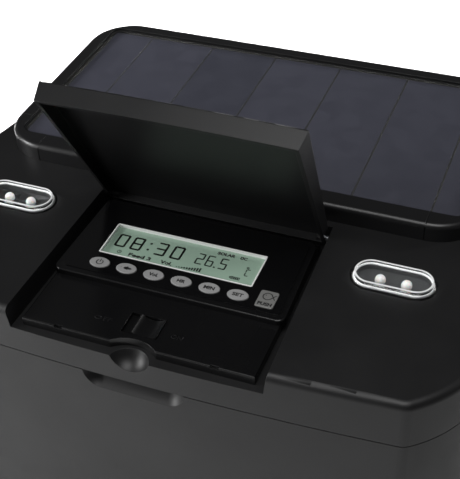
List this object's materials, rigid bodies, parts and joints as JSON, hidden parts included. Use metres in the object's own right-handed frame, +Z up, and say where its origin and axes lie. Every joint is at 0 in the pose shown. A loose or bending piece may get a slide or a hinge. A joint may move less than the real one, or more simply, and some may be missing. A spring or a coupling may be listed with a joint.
{
  "type": "solar automatic feeder",
  "caption": "Free-standing solar automatic feeder: hinged lid with solar panel, lamps and a display under a flip-up cover, over a hopper with a motor-driven portion rotor.",
  "frame": {"origin": "on the ground under the middle of the bounding box", "axes": "+Z up, front with the display and feed outlet faces -Y, +X to the right seen from the front"},
  "size_m": [0.2882, 0.25, 0.3843],
  "materials": {
    "black_moulding": "fine spark-eroded texture, satin",
    "gloss_black": "polished",
    "hopper_plastic": "smooth moulded",
    "gear_plastic": "natural acetal",
    "rubber": "matte",
    "screw_steel": "zinc plated",
    "motor_steel": "plated can",
    "bush_bronze": "sintered bronze",
    "solar_glass": "clear tempered glass",
    "solar_cell": "blue-grey silicon under glass",
    "backing_board": "laminate",
    "cell_wrap": "heat-shrink sleeve",
    "circuit_board": "solder mask",
    "switch_metal": "tact switch",
    "light_grey": "smooth",
    "key_grey": "satin",
    "key_silver": "silver paint",
    "lcd_green": "reflective liquid crystal",
    "clear_lens": "polished clear polycarbonate",
    "reflector_chrome": "vacuum metallised",
    "lamp_resin": "clear epoxy"
  },
  "bodies": {
    "feeder_body": {"hopper_shell": "black_moulding", "base_pan": "black_moulding", "rubber_feet": "rubber", "base_screws": "screw_steel", "hopper_funnel": "hopper_plastic", "rotor_housing": "hopper_plastic", "housing_screws": "screw_steel", "feed_chute": "hopper_plastic", "rotor_bush": "bush_bronze", "gearbox": "motor_steel", "drive_motor": "motor_steel", "motor_bracket": "screw_steel", "bracket_screws": "screw_steel", "lid_hinge_pins": "screw_steel"},
    "feed_rotor": {"feed_rotor": "hopper_plastic", "rotor_shaft": "screw_steel", "rotor_gear": "gear_plastic"},
    "motor_output": {"motor_pinion": "gear_plastic", "motor_shaft": "screw_steel"},
    "lid": {"lid_shell": "black_moulding", "lid_liner": "black_moulding", "liner_screws": "screw_steel", "rain_seal": "rubber", "solar_frame": "black_moulding", "solar_glass": "solar_glass", "solar_cells": "solar_cell", "solar_backing": "backing_board", "battery_holder": "hopper_plastic", "battery_cells": "cell_wrap", "battery_contacts": "screw_steel", "battery_door": "black_moulding", "charge_board": "circuit_board", "control_plate": "gloss_black", "switch_body": "light_grey", "display_housing": "gloss_black", "fascia_overlay": "gloss_black", "lcd_panel": "lcd_green", "lcd_frame": "key_silver", "control_board": "circuit_board", "key_switches": "switch_metal", "lamp_window_left": "clear_lens", "lamp_window_right": "clear_lens", "lamp_reflector_left": "reflector_chrome", "lamp_reflector_right": "reflector_chrome", "lamps": "lamp_resin", "lamp_boards": "circuit_board"},
    "display_cover": {"display_cover": "black_moulding", "cover_hinge_pins": "screw_steel"},
    "switch_knob": {"switch_knob": "gloss_black"},
    "power_button": {"power_button": "key_grey"},
    "feed_button": {"feed_button": "key_grey"},
    "volume_button": {"volume_button": "key_grey"},
    "hour_button": {"hour_button": "key_grey"},
    "minute_button": {"minute_button": "key_grey"},
    "set_button": {"set_button": "key_grey"},
    "push_key": {"push_key": "key_silver"}
  },
  "joints": [
    {"name": "lid_hinge", "type": "hinge", "parent": "feeder_body", "child": "lid", "pos_m": [0, 0.1212, 0.275], "axis": [-1, 0, 0], "range_deg": [0, 80]},
    {"name": "cover_hinge", "type": "hinge", "parent": "lid", "child": "display_cover", "pos_m": [0, -0.0284, 0.2965], "axis": [-1, 0, 0], "range_deg": [-64, 25]},
    {"name": "rotor_spin", "type": "hinge", "parent": "feeder_body", "child": "feed_rotor", "pos_m": [0, -0.03, 0.07], "axis": [0, 0, 1], "continuous": true},
    {"name": "motor_spin", "type": "hinge", "parent": "feeder_body", "child": "motor_output", "pos_m": [0, 0.006, 0.06], "axis": [0, 0, 1], "continuous": true},
    {"name": "switch_slide", "type": "slide", "parent": "lid", "child": "switch_knob", "axis": [-1, 0, 0], "range_m": [0, 0.0042]},
    {"name": "power_button_press", "type": "slide", "parent": "lid", "child": "power_button", "axis": [0, 0, -1], "range_m": [0, 0.0005], "stiffness_N_per_m": 400},
    {"name": "feed_button_press", "type": "slide", "parent": "lid", "child": "feed_button", "axis": [0, 0, -1], "range_m": [0, 0.0005], "stiffness_N_per_m": 400},
    {"name": "volume_button_press", "type": "slide", "parent": "lid", "child": "volume_button", "axis": [0, 0, -1], "range_m": [0, 0.0005], "stiffness_N_per_m": 400},
    {"name": "hour_button_press", "type": "slide", "parent": "lid", "child": "hour_button", "axis": [0, 0, -1], "range_m": [0, 0.0005], "stiffness_N_per_m": 400},
    {"name": "minute_button_press", "type": "slide", "parent": "lid", "child": "minute_button", "axis": [0, 0, -1], "range_m": [0, 0.0005], "stiffness_N_per_m": 400},
    {"name": "set_button_press", "type": "slide", "parent": "lid", "child": "set_button", "axis": [0, 0, -1], "range_m": [0, 0.0005], "stiffness_N_per_m": 400},
    {"name": "push_key_press", "type": "slide", "parent": "lid", "child": "push_key", "axis": [0, 0, -1], "range_m": [0, 0.0005], "stiffness_N_per_m": 400}
  ],
  "couplings": [
    {"joint": "motor_spin", "follows": "rotor_spin", "ratio": -3}
  ]
}
